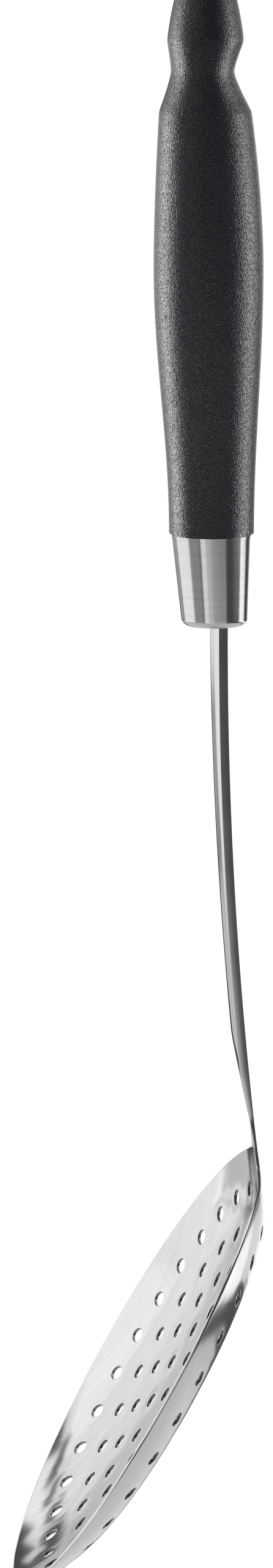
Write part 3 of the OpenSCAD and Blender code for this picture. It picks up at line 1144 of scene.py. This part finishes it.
    def add_hole(self, skin: Skin, rows: Array, way: int, first: int, last: int) -> Array:
        """Adds one mouth of the hanging hole: the face round it, the recess and half of the bore.

        Args:
            skin: Surface to add to.
            rows: The body's rings.
            way: -1 for the front, 1 for the back.
            first: Row under the hole.
            last: Row over the hole.

        Returns:
            Mask of the body's quads that the mouth takes the place of.
        """
        middle = self.columns // 4 if way > 0 else 3 * self.columns // 4
        left, right = middle - self.window, middle + self.window
        loop = np.concatenate(
            [
                rows[first, left:right],
                rows[first:last, right],
                rows[last, right:left:-1],
                rows[last:first:-1, left],
            ]
        )
        heading = np.arctan2(loop[:, 2], loop[:, 0])
        bevel = self.hole_bevel

        def circle(radius: float) -> tuple[Array, Array]:
            """X and z of a circle round the bore, met along the loop's own headings."""
            return radius * np.cos(heading), radius * np.sin(heading)

        rim_x, rim_z = circle(self.recess_d / 2 + bevel)
        share = np.array(self.window_layers)[:, None]
        x = blend(loop[:, 0], rim_x, share)
        z = blend(loop[:, 2], rim_z, share)
        face = points_of(x, self.face(x, z, way), z)
        face[0] = loop
        floor = self.hang_l / 2
        recess_x, recess_z = circle(self.recess_d / 2)
        edge = np.abs(self.face(recess_x, recess_z, way)) - bevel
        bottom = np.minimum(floor, edge)
        steps = [
            (self.recess_d / 2, edge),
            (self.recess_d / 2, np.minimum(floor + bevel / 2, edge)),
            (self.recess_d / 2 - bevel / 2, bottom),
            (self.hang_d / 2 + bevel, bottom),
            (self.hang_d / 2 + bevel * self.bevel_round, bottom - bevel * self.bevel_round),
            (self.hang_d / 2, bottom - bevel),
            (self.hang_d / 2, np.zeros_like(heading)),
        ]
        mouth = [points_of(circle(radius)[0], way * depth, circle(radius)[1]) for radius, depth in steps]
        skin.add(np.concatenate([face, np.stack(mouth)]), True)
        mask = np.zeros((rows.shape[0] - 1, self.columns), dtype=bool)
        mask[first:last, left:right] = True
        return mask

    def build(self, finish: GrainedPlastic) -> bpy.types.Object:
        """Builds the handle and puts it in place of its solid.

        Args:
            finish: The plastic's finish.

        Returns:
            The finished piece.
        """
        skin = Skin()
        z, body = self.body_rows()
        rows = capped(body)
        first, last = (int(row) for row in np.searchsorted(z, [-self.window_below, self.window_above]))
        mask = self.add_hole(skin, rows, -1, first, last) | self.add_hole(skin, rows, 1, first, last)
        skin.add(rows, True, holes=mask)
        skin.add(np.concatenate([self.inner_rows(), rows[:1]]), True)
        piece = skin.build("skimmer_handle", self.crease)
        return dress(piece, finish.material(), "handle")


def dress(piece: bpy.types.Object, material: bpy.types.Material, node: str) -> bpy.types.Object:
    """Gives a piece its material and puts it in place of a solid.

    Args:
        piece: The finished mesh.
        material: Its material.
        node: Name of the solid that it stands for.

    Returns:
        The same piece.
    """
    piece.data.materials.append(material)
    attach(piece, BODY)
    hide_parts(node)
    return piece


@dataclass(frozen=True)
class SoftBox:
    """An upright soft panel of light that faces the object and spans some azimuths and elevations from it.

    Azimuth 0 lies towards the camera's side, +X, and 90 towards +Y. Where a piece is named, the panel is
    shaded off from everything else.
    """

    name: str
    left: float
    right: float
    low: float
    high: float
    radiance: float
    distance: float = 2.6
    piece: str = ""

    def build(self, aim: Vector) -> bpy.types.Object:
        """Hangs the panel up.

        Args:
            aim: Point that it faces.

        Returns:
            The light, which the camera doesn't see.
        """
        turn = math.radians(self.left + self.right) / 2
        bottom, top = (self.distance * math.tan(math.radians(angle)) for angle in (self.low, self.high))
        way = Vector((math.cos(turn), math.sin(turn), 0.0))
        light = bpy.data.lights.new(self.name, "AREA")
        light.shape = "RECTANGLE"
        light.size = 2 * self.distance * math.tan(math.radians(self.right - self.left) / 2)
        light.size_y = top - bottom
        light.energy = self.radiance * math.pi * light.size * light.size_y
        panel = bpy.data.objects.new(self.name, light)
        panel.location = aim + way * self.distance + Vector((0.0, 0.0, (bottom + top) / 2))
        panel.rotation_euler = way.to_track_quat("Z", "Y").to_euler()
        panel.visible_camera = False
        if self.piece:
            lit = bpy.data.collections.new(self.name)
            lit.objects.link(bpy.data.objects[self.piece])
            panel.light_linking.receiver_collection = lit
        bpy.context.scene.collection.objects.link(panel)
        return panel


@dataclass
class Studio:
    """Pale floor under the object, soft light panels, a white surrounding and the camera."""

    floor_drop: float = 950 * MM
    floor_r: float = 1390 * MM
    floor_glow: float = 0.28
    floor_dark: Colour = (0.86, 0.86, 0.855, 1.0)
    floor_light: Colour = (0.92, 0.92, 0.915, 1.0)
    floor_cloud: float = 1 / 6
    floor_roughness: float = 0.7
    ambient: float = 0.08
    backdrop: float = 1.02
    aim: tuple[float, float, float] = (-0.6 * MM, -15.5 * MM, -183.5 * MM)
    azimuth: float = 88.3
    elevation: float = 10.2
    distance: float = 1267.6 * MM
    focal_pixels: float = 9000
    sensor: float = 36
    clip: tuple[float, float] = (0.05, 100)
    panels: tuple[SoftBox, ...] = (
        SoftBox("left_panel", -128, -77, 5, 39, 1.3),
        SoftBox("left_low", -128, -74, -28, 5, 1.15),
        SoftBox("left_shelf", -117, -77, 39, 46, 1.15),
        SoftBox("top_left", -137, -120, 42, 63, 1.3),
        SoftBox("top_back_left", -146, -137, 33, 63, 1.3),
        SoftBox("top_back_end", -152.5, -146, 22.5, 63, 1.3),
        SoftBox("top_back_step", -159, -152.5, 15, 28, 1.05),
        SoftBox("top_back_tail", -165.5, -159, 9, 15, 0.9),
        SoftBox("back_left_panel", -137, -128, -9.5, 35, 1.1),
        SoftBox("back_left_step", -146, -137, -9.5, 27, 1.1),
        SoftBox("back_left_foot", -153, -146, -9.5, 16.5, 1.08),
        SoftBox("back_left_end", -157, -153, -9.5, 7, 0.85),
        SoftBox("back_left_low", -157, -128, -28.7, -15, 0.66, 0.8),
        SoftBox("back_left_shelf", -157, -128, -13.2, -10.3, 0.4),
        SoftBox("back_shelf", 178, 189, -14, -9.3, 1.25),
        SoftBox("back_panel", 150, 204, -9, 2.2, 0.6),
        SoftBox("right_panel", 66, 115, -8.5, 45, 1.15),
        SoftBox("right_drop", 95.5, 122.5, -21, -8.5, 1.5),
        SoftBox("right_back", 115, 172, -3, 60, 0.55),
        SoftBox("right_low", 121, 138, -24.5, -14.8, 1.4, 1.2),
        SoftBox("right_low_dim", 138, 158, -24.3, -14.8, 0.85, 1.2),
        SoftBox("back_low", 158, 180, -24, -14.8, 1.1, 1.2),
        SoftBox("handle_left", -122, -94, -22, 12, 7.0, 2.6, "skimmer_handle"),
        SoftBox("handle_right", 78, 104, -20, 12, 5.0, 2.6, "skimmer_handle"),
        SoftBox("low_front", -4, 42, -35, -14.5, 0.49, 8.0),
        SoftBox("front_fall", -20, -4, -35, -14.4, 0.74, 8.0),
        SoftBox("front_strip", -35, -20, -35, -12, 1.05, 8.0),
        SoftBox("left_front", -74, -40, -35, -8, 0.28, 3.0),
        SoftBox("upper_front", -77, -15, 12, 45, 0.45, 3.0),
    )

    floor_steps = 96
    floor_rings = (0.0, 0.3, 0.7, 1.0)

    def build_floor(self) -> None:
        """Lays a round pale floor: rings of points on a disc."""
        turn = full_turn(self.floor_steps)
        radii = np.array(self.floor_rings)[:, None] * self.floor_r
        skin = Skin()
        skin.add(points_of(radii * np.cos(turn), radii * np.sin(turn), np.full(1, -self.floor_drop)), True)
        floor = skin.build("floor", 30)
        made = bpy.data.materials.new("pale_floor")
        shader = Shader(made)
        cloud = shader.noise(shader.place((1 / self.floor_cloud,) * 3), 3.0)
        surface = shader.node(
            "ShaderNodeBsdfPrincipled",
            {},
            {
                "Base Color": shader.mix(cloud, self.floor_dark, self.floor_light),
                "Roughness": self.floor_roughness,
                "Emission Color": WHITE,
                "Emission Strength": self.floor_glow,
            },
        )
        shader.finish(surface)
        floor.data.materials.append(made)

    def build_surrounding(self) -> None:
        """Sets a white background, and a dim even light from all around."""
        world = bpy.data.worlds.new("surrounding")
        shader = Shader(world)
        seen = shader.node("ShaderNodeLightPath", {}, {}, "Is Camera Ray")
        strength = seen * (self.backdrop - self.ambient) + self.ambient
        shader.finish(shader.node("ShaderNodeBackground", {}, {"Color": WHITE, "Strength": strength}))
        bpy.context.scene.world = world

    def build_camera(self) -> None:
        """Places the camera at the photograph's angle, with the lens that fills its frame."""
        turn, lift = math.radians(self.azimuth), math.radians(self.elevation)
        way = Vector((math.sin(turn) * math.cos(lift), -math.cos(turn) * math.cos(lift), math.sin(lift)))
        data = bpy.data.cameras.new("camera")
        data.sensor_width = self.sensor
        data.lens = self.sensor * self.focal_pixels / PHOTO_HEIGHT
        data.clip_start, data.clip_end = self.clip
        camera = bpy.data.objects.new("camera", data)
        camera.location = Vector(self.aim) + way * self.distance
        camera.rotation_euler = way.to_track_quat("Z", "Y").to_euler()
        bpy.context.scene.collection.objects.link(camera)
        bpy.context.scene.camera = camera

    def build(self) -> None:
        """Sets up camera, floor, surrounding and lights."""
        self.build_camera()
        self.build_floor()
        self.build_surrounding()
        for panel in self.panels:
            panel.build(Vector(self.aim))
        bpy.context.scene.view_settings.view_transform = "Standard"


def corners(bounds: tuple[Vector, Vector]) -> list[list[float]]:
    """Two corners as plain lists of numbers."""
    return [[float(number) for number in corner] for corner in bounds]


def main() -> None:
    """Builds the skimmer's pieces and the studio."""
    logging.basicConfig(level=logging.INFO, format="%(message)s")
    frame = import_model()
    blade_steel = Steel("brushed_steel", Brushing.LENGTHWISE)
    ferrule_steel = Steel(
        "turned_steel", Brushing.ROUND, roughness=0.16, line_pitch=0.12 * MM, line_length=6 * MM
    )
    pin_steel = Steel("drawn_steel", Brushing.ROUND, roughness=0.35)
    pieces = [
        Blade().build(blade_steel),
        Ferrule().build(ferrule_steel),
        Handle().build(GrainedPlastic("grained_plastic")),
    ]
    Studio().build()
    pin = frame["nodes"]["tang_pin"]
    pin.data.materials.clear()
    pin.data.materials.append(pin_steel.material())
    for piece in pieces:
        LOG.info("%s: %d vertices, %d faces", piece.name, len(piece.data.vertices), len(piece.data.polygons))


if __name__ == "__main__":
    main()
